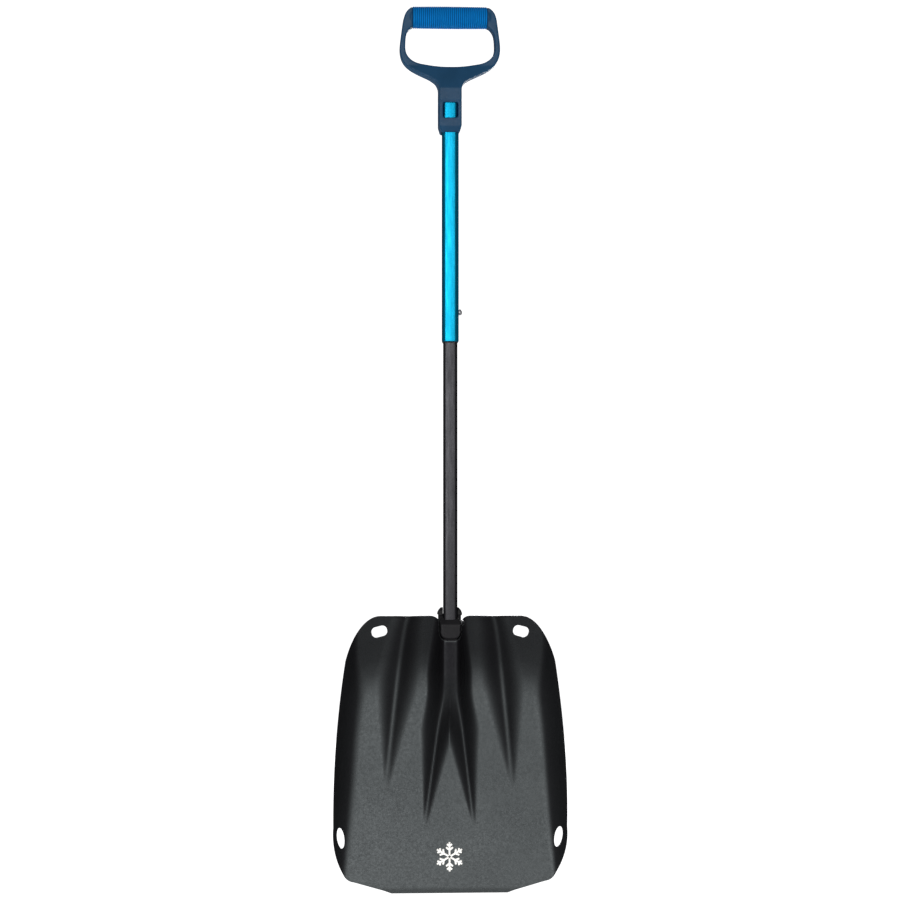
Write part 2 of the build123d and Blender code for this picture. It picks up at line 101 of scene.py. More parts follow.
SPREAD_SLOPE = 0.126
VALLEY_SLOPE = 1.25
RIB_HEIGHT = 10.5              # an outer rib above the surface it stands on
RIB_PEAK = -686.0
RIB_END = -806.0
RIB_FALL = 0.05
RIB_START = 44.0               # X of an outer rib's crest at its top, and how far it spreads
RIB_SPREAD = 21.5
RIB_TOP = -618.0
RIB_LENGTH = 178.0
RIB_FLANK = 0.62
SLOPE_SHADE_RATE = 7.0             # painted shade: how fast the coat is darkened on steep slopes, and how far
SLOPE_SHADE_DEPTH = 0.74
NOTCH_BOTTOM = -640.8
NOTCH_HALF_WIDTH = 11.3
NOTCH_MOUTH_HALF_WIDTH = 11.9
NOTCH_CORNER = 8.0
RELIEF_X = 10.4                # the notch widens beside the lower button
RELIEF_RADIUS = 3.7
TOP_HOLE = (72.8, -631.2, 8.1, 5.5, 4.9, 14.0)     # x, z, half sizes, corner, tilt
LOW_HOLE = (112.3, -843.8, 3.7, 11.0, 9.0)         # x, z, half sizes, tilt
EMBLEM_HEIGHT = -864.3
EMBLEM_REACH = 15.0
EMBLEM_HALF_STROKE = 0.95
BUTTON_HEIGHTS = {
    "upper": sum(corner.z for corner in limits("upper_snap_button")) / 2,
    "lower": sum(corner.z for corner in limits("lower_snap_button")) / 2,
}
TELESCOPE_TRAVEL = 211.0
COLLAPSED_BUTTON_HEIGHT = BUTTON_HEIGHTS["upper"] + TELESCOPE_TRAVEL
SHAFT_FRONT_HALF = 9.0
SHAFT_BACK_HALF = 7.3
SHAFT_HALF_DEPTH = 14.0
SHAFT_CORNER = 4.6
WALL = 1.15
SLIDE_GAP = 0.2
BUTTON_HOLE_RADIUS = 3.4
GRIP_RIBS = 36
GRIP_RIB_DEPTH = 0.75
GRIP_BARREL = 0.35             # how much smaller the grip is at its ends
CORE_RADIUS = 8.2


# ---- materials -----------------------------------------------------------------------------
class Look:
    """A node-based material: its own colour, plus cloudy variation, grain and edge wear."""

    def __init__(self, name, metallic=0.0, coat=0.0):
        self.material = bpy.data.materials.new(name)
        self.material.use_nodes = True
        self.tree = self.material.node_tree
        self.shader = self.tree.nodes["Principled BSDF"]
        self.shader.inputs["Metallic"].default_value = metallic
        if coat:
            self.shader.inputs["Coat Weight"].default_value = coat
            self.shader.inputs["Coat Roughness"].default_value = 0.25
        self.place = self.tree.nodes.new("ShaderNodeTexCoord")

    def node(self, kind, **settings):
        made = self.tree.nodes.new(kind)
        for key, value in settings.items():
            setattr(made, key, value)
        return made

    def link(self, start, end):
        self.tree.links.new(start, end)

    def noise(self, scale, detail=3.0, stretch=(1, 1, 1)):
        """Noise with about scale cells to the metre."""
        mapping = self.node("ShaderNodeMapping")
        mapping.inputs["Scale"].default_value = stretch
        self.link(self.place.outputs["Object"], mapping.inputs["Vector"])
        noise = self.node("ShaderNodeTexNoise")
        noise.inputs["Scale"].default_value = scale
        noise.inputs["Detail"].default_value = detail
        self.link(mapping.outputs["Vector"], noise.inputs["Vector"])
        return noise.outputs["Fac"]

    def remap(self, value, low, high, start=0.35, end=0.65):
        """value between start and end, spread over low to high."""
        spread = self.node("ShaderNodeMapRange")
        spread.inputs["From Min"].default_value = start
        spread.inputs["From Max"].default_value = end
        spread.inputs["To Min"].default_value = low
        spread.inputs["To Max"].default_value = high
        self.link(value, spread.inputs["Value"])
        return spread.outputs["Result"]

    def mix(self, factor, first, second):
        """Blend of two colours, each a colour or an output."""
        blend = self.node("ShaderNodeMix", data_type="RGBA")
        self.link(factor, blend.inputs["Factor"])
        for value, place in ((first, blend.inputs["A"]), (second, blend.inputs["B"])):
            if isinstance(value, tuple):
                place.default_value = (*value, 1.0)
            else:
                self.link(value, place)
        return blend.outputs["Result"]

    def color(self, output):
        self.link(output, self.shader.inputs["Base Color"])

    def roughness(self, output):
        self.link(output, self.shader.inputs["Roughness"])

    def wear(self):
        """High on convex edges."""
        geometry = self.node("ShaderNodeNewGeometry")
        return self.remap(geometry.outputs["Pointiness"], 0.0, 1.0, 0.53, 0.62)

    def attribute(self, name):
        made = self.node("ShaderNodeAttribute", attribute_name=name)
        return made.outputs["Fac"]

    def bumps(self, *layers):
        """Bump layers, each (height output, strength, distance in metres)."""
        normal = None
        for height, strength, distance in layers:
            bump = self.node("ShaderNodeBump")
            bump.inputs["Strength"].default_value = strength
            bump.inputs["Distance"].default_value = distance
            self.link(height, bump.inputs["Height"])
            if normal:
                self.link(normal, bump.inputs["Normal"])
            normal = bump.outputs["Normal"]
        self.link(normal, self.shader.inputs["Normal"])


def handle_nylon():
    """Satin slate-blue moulded nylon with a fine spark-eroded grain."""
    look = Look("handle_nylon")
    look.shader.inputs["Specular IOR Level"].default_value = 0.35
    clouds = look.remap(look.noise(60), 0.0, 1.0)
    base = look.mix(clouds, (0.008, 0.078, 0.178), (0.012, 0.092, 0.208))
    look.color(look.mix(look.wear(), base, (0.050, 0.140, 0.240)))
    look.roughness(look.remap(look.noise(900), 0.38, 0.52))
    look.bumps((look.noise(2600, 2.0), 0.25, 0.00008))
    return look.material


def grip_rubber():
    """Matt blue rubber, with painted shade in the grooves between the ribs."""
    look = Look("grip_rubber")
    look.shader.inputs["Specular IOR Level"].default_value = 0.15
    clouds = look.remap(look.noise(140), 0.0, 1.0)
    base = look.mix(clouds, (0.001, 0.330, 0.940), (0.002, 0.370, 1.000))
    # painted shade: a darker colour in the grooves between the ribs
    rib = look.remap(look.attribute("rib"), 0.0, 1.0, 0.0, 1.0)
    look.color(look.mix(rib, (0.0003, 0.105, 0.400), base))
    look.roughness(look.remap(look.noise(1500), 0.48, 0.64))
    look.bumps((look.noise(3200, 2.0), 0.2, 0.00006))
    return look.material


def anodised(name, dark, light, edge, speckle, rough):
    """Satin anodising over blasted aluminium: fine speckle and faint drawing lines."""
    look = Look(name, metallic=1.0)
    look.shader.inputs["Specular Tint"].default_value = (*edge, 1.0)
    specks = look.remap(look.noise(1700, 4.0), 0.0, 1.0, 0.36, 0.64)
    base = look.mix(specks, dark, light)
    scuffs = look.remap(look.noise(260, 6.0, (1, 1, 0.06)), 0.0, 0.35, 0.62, 0.78)
    base = look.mix(scuffs, base, tuple(min(1.0, 1.5 * part + 0.02) for part in light))
    look.color(look.mix(look.wear(), base, tuple(min(1.0, part + 0.12) for part in light)))
    look.roughness(look.remap(look.noise(500, 3.0, (1, 1, 0.1)), rough - 0.05, rough + 0.07))
    look.bumps((look.noise(2400, 3.0), speckle, 0.00005),
               (look.noise(900, 2.0, (1, 1, 0.02)), 0.06, 0.00005))
    return look.material


def blade_coat():
    """Dark grey metallic coat: green-grey sheen, cloudy patches, fine metallic fleck, and painted
    shade on steep slopes and the tilted top.
    """
    look = Look("blade_coat", metallic=0.75)
    look.shader.inputs["Specular Tint"].default_value = (0.10, 0.10, 0.11, 1.0)
    clouds = look.remap(look.noise(22, 5.0), 0.0, 1.0, 0.30, 0.70)
    base = look.mix(clouds, (0.086, 0.094, 0.096), (0.110, 0.120, 0.122))
    fleck = look.remap(look.noise(1900, 3.0), 0.0, 1.0, 0.40, 0.66)
    base = look.mix(fleck, base, (0.145, 0.158, 0.160))
    # painted shade: the coat is darkened on the rib flanks, the side walls and the forward-tilted
    # top
    painted_slope_shade = look.remap(look.attribute("painted_slope_shade"), 0.0, 1.0, 0.0, 1.0)
    base = look.mix(painted_slope_shade, base, (0.013, 0.011, 0.014))
    look.color(look.mix(look.wear(), base, (0.060, 0.062, 0.066)))
    look.roughness(look.remap(look.noise(420, 5.0), 0.40, 0.56))
    look.bumps((look.noise(1700, 4.0), 0.22, 0.00006), (look.noise(30, 2.0), 0.15, 0.0006))
    return look.material


def raw_edge():
    """Sheared aluminium edge with fine drag lines: bare metal, whose light colour also serves as
    painted highlight along the sheet's cut edges.
    """
    look = Look("raw_edge", metallic=1.0)
    grain = look.remap(look.noise(1400, 4.0, (1, 0.1, 1)), 0.0, 1.0)
    look.color(look.mix(grain, (0.42, 0.43, 0.44), (0.66, 0.67, 0.68)))
    look.roughness(look.remap(look.noise(700), 0.28, 0.46))
    look.bumps((look.noise(2000, 3.0, (1, 0.1, 1)), 0.2, 0.00004))
    return look.material


def black_plastic():
    """Matt black moulding with a light spark grain."""
    look = Look("black_plastic")
    look.shader.inputs["Specular IOR Level"].default_value = 0.25
    base = look.mix(look.remap(look.noise(90), 0.0, 1.0), (0.012, 0.011, 0.013),
                    (0.018, 0.017, 0.019))
    look.color(look.mix(look.wear(), base, (0.032, 0.031, 0.034)))
    look.roughness(look.remap(look.noise(1200), 0.40, 0.58))
    look.bumps((look.noise(2600, 2.0), 0.22, 0.00006))
    return look.material


def steel(name, tone, rough, metallic=1.0):
    """Steel with fine turned or rolled lines and a few dull spots."""
    look = Look(name, metallic=metallic)
    spots = look.remap(look.noise(420, 4.0), 0.0, 1.0)
    dull = tuple(part * 0.72 for part in tone)
    look.color(look.mix(look.wear(), look.mix(spots, dull, tone), (0.88, 0.88, 0.90)))
    look.roughness(look.remap(look.noise(1500, 3.0, (1, 0.2, 1)), rough, rough + 0.14))
    look.bumps((look.noise(2600, 2.0, (1, 0.15, 1)), 0.12, 0.00003))
    return look.material


def emblem_print():
    """Off-white pad print, a little thin in places, with a faint painted glow."""
    look = Look("emblem_print")
    thin = look.remap(look.noise(1300, 4.0), 0.0, 1.0, 0.30, 0.60)
    look.color(look.mix(thin, (0.76, 0.75, 0.71), (0.88, 0.87, 0.83)))
    # painted light: the print glows faintly, so it stays bright whatever light reaches it
    look.shader.inputs["Emission Color"].default_value = (1.0, 0.98, 0.93, 1.0)
    look.shader.inputs["Emission Strength"].default_value = 0.45
    look.roughness(look.remap(look.noise(900), 0.42, 0.58))
    look.bumps((look.noise(1800, 3.0), 0.12, 0.00003))
    return look.material


LOOKS = {
    "handle_nylon": handle_nylon(),
    "grip_rubber": grip_rubber(),
    "upper_anodised": anodised("upper_anodised", (0.002, 0.28, 0.50), (0.012, 0.40, 0.61),
                               (0.01, 0.11, 0.28), 0.35, 0.34),
    "lower_anodised": anodised("lower_anodised", (0.040, 0.040, 0.044), (0.067, 0.066, 0.072),
                               (0.13, 0.13, 0.14), 0.3, 0.40),
    "blade_coat": blade_coat(),
    "raw_edge": raw_edge(),
    "black_plastic": black_plastic(),
    "button_steel": steel("button_steel", (0.88, 0.88, 0.90), 0.22, 0.6),
    "spring_steel": steel("spring_steel", (0.50, 0.51, 0.53), 0.28),
    "rivet_steel": steel("rivet_steel", (0.56, 0.57, 0.59), 0.30),
    "weld_metal": blade_coat(),
    "emblem_print": emblem_print(),
}


# ---- mesh tools ----------------------------------------------------------------------------
def add_piece(name, points, faces, look, sharp=40):
    """A mesh object from points in millimetres."""
    mesh = bpy.data.meshes.new(name)
    mesh.from_pydata([tuple(MM * value for value in point) for point in points], [], faces)
    mesh.update()
    piece = bpy.data.objects.new(name, mesh)
    bpy.context.scene.collection.objects.link(piece)
    mesh.materials.append(LOOKS[look])
    finish_mesh(piece, sharp)
    return piece


def finish_mesh(piece, sharp=40):
    """Consistent normals, smooth shading and sharp edges above an angle."""
    work = bmesh.new()
    work.from_mesh(piece.data)
    bmesh.ops.recalc_face_normals(work, faces=work.faces)
    work.to_mesh(piece.data)
    work.free()
    for face in piece.data.polygons:
        face.use_smooth = True
    piece.data.set_sharp_from_angle(angle=radians(sharp))


def apply_modifiers(piece):
    """Replaces the mesh by its modified form."""
    view = bpy.context.view_layer
    view.update()
    evaluated = piece.evaluated_get(bpy.context.evaluated_depsgraph_get())
    mesh = bpy.data.meshes.new_from_object(evaluated)
    piece.modifiers.clear()
    piece.data = mesh


def cut(piece, points, faces, look):
    """Takes a closed cutter away from the piece; the cut walls take the given look."""
    mesh = bpy.data.meshes.new("cutter")
    mesh.from_pydata([tuple(MM * value for value in point) for point in points], [], faces)
    mesh.materials.append(LOOKS[look])
    cutter = bpy.data.objects.new("cutter", mesh)
    bpy.context.scene.collection.objects.link(cutter)
    finish_mesh(cutter)
    change = piece.modifiers.new("cut", "BOOLEAN")
    change.operation = "DIFFERENCE"
    change.solver = "EXACT"
    change.material_mode = "TRANSFER"
    change.object = cutter
    apply_modifiers(piece)
    bpy.data.objects.remove(cutter)


def prism(outline, place, low, high):
    """Closed prism: place(u, v, w) turns an outline point and a height into a point."""
    count = len(outline)
    points = [place(u, v, low) for u, v in outline] + [place(u, v, high) for u, v in outline]
    faces = [tuple(range(count)), tuple(range(2 * count - 1, count - 1, -1))]
    for index in range(count):
        following = (index + 1) % count
        faces.append((index, following, following + count, index + count))
    return points, faces


def through(x, z, y):
    """Place for a prism along Y."""
    return (x, y, z)


def sideways(y, z, x):
    """Place for a prism along X."""
    return (x, y, z)


def rounded_box(half_width, half_height, corner, steps=8):
    """Outline of a rectangle with rounded corners, centred on zero."""
    points = []
    for turn, (sx, sy) in enumerate(((1, 1), (-1, 1), (-1, -1), (1, -1))):
        for step in range(steps + 1):
            angle = pi / 2 * (turn + step / steps)
            points.append((sx * (half_width - corner) + corner * cos(angle),
                           sy * (half_height - corner) + corner * sin(angle)))
    return points


def ellipse(half_width, half_height, steps=40):
    turns = [2 * pi * step / steps for step in range(steps)]
    return [(half_width * cos(turn), half_height * sin(turn)) for turn in turns]


def turned(outline, x, y, angle):
    """An outline turned by angle in degrees and moved."""
    c, s = cos(radians(angle)), sin(radians(angle))
    return [(x + c * u - s * v, y + s * u + c * v) for u, v in outline]


def lathe(profile, place, segments):
    """Surface of revolution: place(along, radius, angle) gives a point."""
    points = []
    faces = []
    rows = len(profile)
    for along, radius in profile:
        points += [place(along, radius, 2 * pi * k / segments) for k in range(segments)]
    for row in range(rows - 1):
        for k in range(segments):
            after = (k + 1) % segments
            faces.append((row * segments + k, row * segments + after,
                          (row + 1) * segments + after, (row + 1) * segments + k))
    faces.append(tuple(range(segments)))
    faces.append(tuple(reversed(range((rows - 1) * segments, rows * segments))))
    return points, faces


def along_x(along, radius, angle):
    return (along, radius * cos(angle), radius * sin(angle))


# ---- blade ---------------------------------------------------------------------------------
def ramp(value, rounding):
    """Zero below zero and value above it, with a rounded corner between."""
    if value <= -rounding:
        return 0.0
    if value >= rounding:
        return value
    return (value + rounding) ** 2 / (4 * rounding)


def ease(value):
    value = min(max(value, 0.0), 1.0)
    return value * value * (3 - 2 * value)


def blend(first, second, rounding):
    """The higher of two surfaces, with a rounded meeting."""
    return first + ramp(second - first, rounding)


def tilt(x, z):
    """How far the blade leans forward near its top."""
    return TILT_SLOPE * ramp(z - TILT_START + 5 + 12 * (x / 80) ** 2, 22)


def floor_height(x, z):
    """Floor, side walls, tilted top, rising tip and bevelled edge."""
    rise = TIP_SLOPE * ramp(TIP_START - z, 40)
    fold = FOLD_X - FOLD_INWARD * exp(min((z - WALL_START) / FOLD_FADE, 0.06))
    steepness = WALL_SLOPE + WALL_STEEPENING * ease((WALL_START - z) / 170)
    wall = steepness * ramp(abs(x) - fold - 4.0, 11)
    return blend(tilt(x, z) + rise, wall, 3.0) - LIP_SLOPE * ramp(LIP_START - z, 1)


def centre_height(x, z):
    """Channel over the shaft's end, which splits into two ribs lower down."""
    below = CHANNEL_SPLIT - z
    fall = CHANNEL_HEIGHT / (CHANNEL_SPLIT - CHANNEL_END)
    crest = CHANNEL_HEIGHT - fall * ramp(below, 8)
    crest -= CHANNEL_SAG * sin(pi * min(max(below / (CHANNEL_SPLIT - CHANNEL_END), 0.0), 1.0))
    line = CREST_HALF_WIDTH + SPREAD_SLOPE * ramp(SPREAD_START - z, 10)
    inner = VALLEY_SLOPE * ease((below - 6) / 60)
    beyond = abs(x) - line
    flank = CHANNEL_FLANK - FLANK_EASING * ease(below / 60)
    return crest - flank * ramp(beyond, 2.6) - inner * ramp(-beyond, 2.6)


def rib_crest(z):
    """Height of an outer rib's crest above the surface it stands on."""
    grown = (z - RIB_END) / (RIB_PEAK - RIB_END)
    return RIB_HEIGHT * (grown - ramp(grown - 1, 0.15)) - RIB_FALL * ramp(z - RIB_PEAK, 8)


def outer_height(x, z):
    """The two ribs beside the channel."""
    along = min(max((RIB_TOP - z) / RIB_LENGTH, 0.0), 1.2)
    beyond = abs(x) - RIB_START - RIB_SPREAD * along ** 0.75
    return rib_crest(z) + tilt(x, z) - RIB_FLANK * (ramp(beyond, 3.4) + ramp(-beyond, 3.4))


def blade_height(x, z):
    """Height of the blade's front face above its flat floor."""
    height = floor_height(x, z)
    rounding = 1.0 + 0.40 * max(rib_crest(z), 0.0)
    height = blend(height, outer_height(x, z), rounding)
    share = min(max((z - CHANNEL_END) / (CHANNEL_SPLIT - CHANNEL_END), 0.0), 1.0)
    return blend(height, centre_height(x, z), 1.2 + 12.0 * share)


def blade_slopes(x, z):
    step = 0.4
    across = (blade_height(x + step, z) - blade_height(x - step, z)) / (2 * step)
    along = (blade_height(x, z + step) - blade_height(x, z - step)) / (2 * step)
    return across, along


def arc_through(a, b, c, count):
    """Points of the circle arc from a through b to c, without a."""
    (ax, ay), (bx, by), (cx, cy) = a, b, c
    d = 2 * (ax * (by - cy) + bx * (cy - ay) + cx * (ay - by))
    ux = ((ax * ax + ay * ay) * (by - cy) + (bx * bx + by * by) * (cy - ay)
          + (cx * cx + cy * cy) * (ay - by)) / d
    uy = ((ax * ax + ay * ay) * (cx - bx) + (bx * bx + by * by) * (ax - cx)
          + (cx * cx + cy * cy) * (bx - ax)) / d
    radius = hypot(ax - ux, ay - uy)
    start = atan2(ay - uy, ax - ux)
    turn = (atan2(cy - uy, cx - ux) - start + pi) % (2 * pi) - pi
    return [(ux + radius * cos(start + turn * k / count),
             uy + radius * sin(start + turn * k / count)) for k in range(1, count + 1)]


def bezier(p0, p1, p2, p3, count):
    """Points of a cubic curve."""
    points = []
    for k in range(count + 1):
        t = k / count
        weights = ((1 - t) ** 3, 3 * t * (1 - t) ** 2, 3 * t * t * (1 - t), t ** 3)
        points.append(tuple(sum(w * p[i] for w, p in zip(weights, (p0, p1, p2, p3)))
                            for i in (0, 1)))
    return points


def blade_side():
    """Right-hand outline of the blade from its top edge to its lip."""
    points = bezier((72, BLADE_TOP), (89, BLADE_TOP), (102.1, -639.4), (107.8, -661.4), 34)
    points += arc_through(points[-1], (115.8, -726), (120.2, -832), 96)
    points += arc_through(points[-1], (118, -860), (109.3, -882.5), 34)
    points += arc_through(points[-1], (105.6, -887.2), (99, -889.8), 8)
    for end in ((68, -898.6), (60, BLADE_BOTTOM)):
        start = points[-1]
        steps = 6 if end[0] == 68 else 3
        points += [(start[0] + (end[0] - start[0]) * k / steps,
                    start[1] + (end[1] - start[1]) * k / steps) for k in range(1, steps + 1)]
    return points


def notch_outline():
    """The U-shaped notch at the blade's top edge, with its mouth rolled outwards."""
    mouth = NOTCH_MOUTH_HALF_WIDTH
    half = NOTCH_HALF_WIDTH
    notch = [(mouth + 9.0, -600), (mouth + 9.0, BLADE_TOP)]
    notch += arc_through(notch[-1], (mouth + 2.6, -616.9), (mouth, -619.5), 8)
    notch.append((half, -632.0))
    notch += arc_through((half, -632.8), (half - 2.35, -638.45),
                         (half - NOTCH_CORNER, NOTCH_BOTTOM), 8)
    return notch + [(-x, z) for x, z in reversed(notch)]


def blade_sheet():
    """The pressed blade: a fine grid in front, its offset behind, and a raw edge between."""
    outline = blade_side()
    columns = 200
    front = []
    back = []
    painted_slope_shade = []
    for half, z in outline:
        for column in range(columns + 1):
            x = half * (2 * column / columns - 1)
            across, along = blade_slopes(x, z)
            y = BLADE_BASE - blade_height(x, z)
            length = hypot(1, across, along)
            front.append((x, y, z))
            back.append((x, y + SHEET * length, z))
            # painted shade: darker the steeper the surface, and darker on the tilted top near the
            # middle
            stretch = 1 - exp(-SLOPE_SHADE_RATE * (across * across + along * along))
            near = exp(-(x / 15) ** 2)
            top = (0.28 + 0.62 * near) * ease((z + 705 + 20 * near) / 60)
            painted_slope_shade.append(1 - (1 - SLOPE_SHADE_DEPTH * stretch) * (1 - top))
    rows = len(outline)
    width = columns + 1
    size = rows * width
    faces = []
    for row in range(rows - 1):
        for column in range(columns):
            a = row * width + column
            faces.append((a, a + 1, a + width + 1, a + width))
            faces.append((size + a, size + a + width, size + a + width + 1, size + a + 1))
    rim = list(range(width)) + [row * width + columns for row in range(1, rows)]
    rim += [(rows - 1) * width + column for column in range(columns - 1, -1, -1)]
    rim += [row * width for row in range(rows - 2, 0, -1)]
    first_edge = len(faces)
    for here, after in zip(rim, rim[1:] + rim[:1]):
        faces.append((here, size + here, size + after, after))
    piece = add_piece("blade_sheet", front + back, faces, "blade_coat", sharp=50)
    piece.data.materials.append(LOOKS["raw_edge"])
    for index in range(first_edge, len(faces)):
        piece.data.polygons[index].material_index = 1
    tone = piece.data.attributes.new("painted_slope_shade", "FLOAT", "POINT")
    tone.data.foreach_set("value", painted_slope_shade + painted_slope_shade)

    for side in (-1, 1):
        x, z, half_x, half_z, corner, lean = TOP_HOLE
        slot = turned(rounded_box(half_x, half_z, corner), side * x, z, -side * lean)
        cut(piece, *prism(slot, through, -60, 40), "raw_edge")
        x, z, half_x, half_z, lean = LOW_HOLE
        oval = turned(ellipse(half_x, half_z), side * x, z, -side * lean)
        cut(piece, *prism(oval, through, -60, 40), "raw_edge")
    # painted highlight: the notch's cut walls take the light bare-metal colour, which stands in for
    # the highlight on a rounded lip
    cut(piece, *prism(notch_outline(), through, -60, 40), "raw_edge")
    relief = turned(ellipse(RELIEF_RADIUS, RELIEF_RADIUS), RELIEF_X, BUTTON_HEIGHTS["lower"], 0)
    cut(piece, *prism(relief, through, -60, 8), "raw_edge")
    hole = turned(rounded_box(3.9, 3.9, 3.8), 0, BUTTON_HEIGHTS["lower"], 0)
    cut(piece, *prism(hole, sideways, 6, 24), "raw_edge")
    finish_mesh(piece, 50)
    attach(piece, "blade")
    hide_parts("blade")


def emblem():
    """A six-armed snow crystal printed low on the blade."""
    centre = Vector((0.0, EMBLEM_HEIGHT))
    reach = EMBLEM_REACH
    half = EMBLEM_HALF_STROKE
    points = []
    faces = []

    def bar(start, end):
        along = (end - start).normalized()
        side = Vector((-along.y, along.x)) * half
        steps = 4
        first = len(points)
        for step in range(steps + 1):
            middle = start.lerp(end, step / steps)
            for offset in (side, -side):
                x, z = middle + offset
                points.append((x, BLADE_BASE - blade_height(x, z) - 0.12, z))
        for step in range(steps):
            a = first + 2 * step
            faces.append((a, a + 1, a + 3, a + 2))

    for arm in range(6):
        angle = pi / 2 + arm * pi / 3
        way = Vector((cos(angle), sin(angle)))
        bar(centre + way * 1.2, centre + way * reach)
        for share, twig in ((0.45, 4.6), (0.72, 3.4)):
            knot = centre + way * reach * share
            for lean in (-1, 1):
                branch = angle + lean * pi / 3.6
                bar(knot, knot + Vector((cos(branch), sin(branch))) * twig)
    piece = add_piece("emblem_print", points, faces, "emblem_print")
    solid = piece.modifiers.new("thickness", "SOLIDIFY")
    solid.thickness = 0.00012
    solid.offset = 0
    apply_modifiers(piece)
    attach(piece, "blade")


# ---- shaft ---------------------------------------------------------------------------------
def shaft_outline(inset, steps=8):
    """The shaft's rounded trapezoid, brought in by inset on every side."""
    lean = atan2(SHAFT_BACK_HALF - SHAFT_FRONT_HALF, 2 * SHAFT_HALF_DEPTH)
    depth = SHAFT_HALF_DEPTH - inset
    corner = SHAFT_CORNER - inset

    def half(y):
        middle = (SHAFT_FRONT_HALF + SHAFT_BACK_HALF) / 2
        return middle + tan(lean) * y - inset / cos(lean)

    front_turn = pi / 2 - lean
    back_turn = pi / 2 + lean
    front_y = -depth + corner
    back_y = depth - corner
    front_x = half(front_y) - corner / cos(lean)
    back_x = half(back_y) - corner / cos(lean)
    right = []
    for step in range(steps + 1):
        angle = -pi / 2 + front_turn * step / steps
        right.append((front_x + corner * cos(angle), front_y + corner * sin(angle)))
    for step in range(steps + 1):
        angle = pi / 2 - back_turn * (1 - step / steps)
        right.append((back_x + corner * cos(angle), back_y + corner * sin(angle)))
    return right + [(-x, y) for x, y in reversed(right)]


def shaft_tube(name, node, inset, look, body, holes, lip):
    """A tube pulled through a die, with rounded ends; lip is (inset, height) of the rounding at its
    foot.
    """
    low, high = limits(node)
    inner = inset + WALL
    stations = []
    foot_in, foot_up = lip
    for step in range(7):
        angle = pi / 2 * step / 6
        stations.append((low.z + foot_up * (1 - sin(angle)), inset + foot_in * (1 - cos(angle))))
    stations += [(low.z, inner), (high.z, inner)]
    for step in range(5):
        angle = pi / 2 * (1 - step / 4)
        stations.append((high.z - 0.4 * (1 - sin(angle)), inset + 0.4 * (1 - cos(angle))))
    points = []
    faces = []
    for z, amount in stations:
        points += [(x, y, z) for x, y in shaft_outline(amount)]
    ring = len(points) // len(stations)
    for row in range(len(stations)):
        after_row = (row + 1) % len(stations)
        for k in range(ring):
            after = (k + 1) % ring
            faces.append((row * ring + k, row * ring + after,
                          after_row * ring + after, after_row * ring + k))
    piece = add_piece(name, points, faces, look, sharp=35)

    for z in holes:
        hole = rounded_box(BUTTON_HOLE_RADIUS, BUTTON_HOLE_RADIUS, BUTTON_HOLE_RADIUS - 0.01)
        cut(piece, *prism(turned(hole, 0, z, 0), sideways, 2, 20), look)
    finish_mesh(piece, 35)
    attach(piece, body)
    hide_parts(node)


def snap_button(which):
    """Turned pin with a domed tip and an inner flange; it moves with its button."""
    low, high = limits(f"{which}_snap_button")
    height = BUTTON_HEIGHTS[which]
    flange = (high.z - low.z) / 2
    radius = flange - 1.1
    profile = [(low.x, flange - 0.2), (low.x + 0.2, flange), (low.x + 0.6, flange),
               (low.x + 0.8, flange - 0.2), (low.x + 0.8, radius)]
    dome = 2.3
    for step in range(9):
        angle = pi / 2 * step / 8
        profile.append((high.x - dome * (1 - sin(angle)), radius - dome * (1 - cos(angle))))
    profile[-1] = (high.x, 0.7)

    def place(along, size, angle):
        return (along, size * cos(angle), height + size * sin(angle))

    piece = add_piece(f"{which}_button_pin", *lathe(profile, place, 40), "button_steel", sharp=50)
    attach(piece, f"{which}_button")
    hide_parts(f"{which}_snap_button")
    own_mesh(piece)


# ---- handle --------------------------------------------------------------------------------
def moulded(node, name, look, body, voxel, passes):
    """A CAD moulding shown with its corners rounded as they leave the mould."""
    piece = nodes[node].copy()
    piece.data = nodes[node].data.copy()
    piece.name = name
    piece.parent = None
    bpy.context.scene.collection.objects.link(piece)
    piece.hide_render = False
    piece.data.materials.clear()
    piece.data.materials.append(LOOKS[look])
    grid = piece.modifiers.new("grid", "REMESH")
    grid.mode = "VOXEL"
    grid.voxel_size = MM * voxel
    relax = piece.modifiers.new("relax", "SMOOTH")
    relax.factor = 0.5
    relax.iterations = passes
    apply_modifiers(piece)
    finish_mesh(piece, 60)
    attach(piece, body)
    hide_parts(node)


def grip():
    """Ribbed sleeve: rounded ribs round a slightly barrelled tube."""
    low, high = limits("grip_sleeve")
    half = high.x
    crown = high.z
    pitch = 2 * half / GRIP_RIBS
    profile = [(-half, CORE_RADIUS)]
    heights = [0.0]
    steps = 8
    for rib in range(GRIP_RIBS):
        for step in range(steps):
            share = step / steps
            x = -half + (rib + share) * pitch
            bulge = (0.5 - 0.5 * cos(2 * pi * share)) ** 0.55
            barrel = crown - GRIP_BARREL * (x / half) ** 2
            profile.append((x, barrel - GRIP_RIB_DEPTH * (1 - bulge)))
            heights.append(bulge)
    profile += [(half, crown - 1.1), (half, CORE_RADIUS)]
    heights += [0.0, 0.0]
    segments = 72
    points, faces = lathe(profile, along_x, segments)
    piece = add_piece("ribbed_grip", points, faces, "grip_rubber", sharp=60)
    # rib height at each point, which the rubber uses for its painted shade in the grooves
    tone = piece.data.attributes.new("rib", "FLOAT", "POINT")
    tone.data.foreach_set("value", [value for value in heights for _ in range(segments)])
    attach(piece, "handle")
    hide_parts("grip_sleeve")


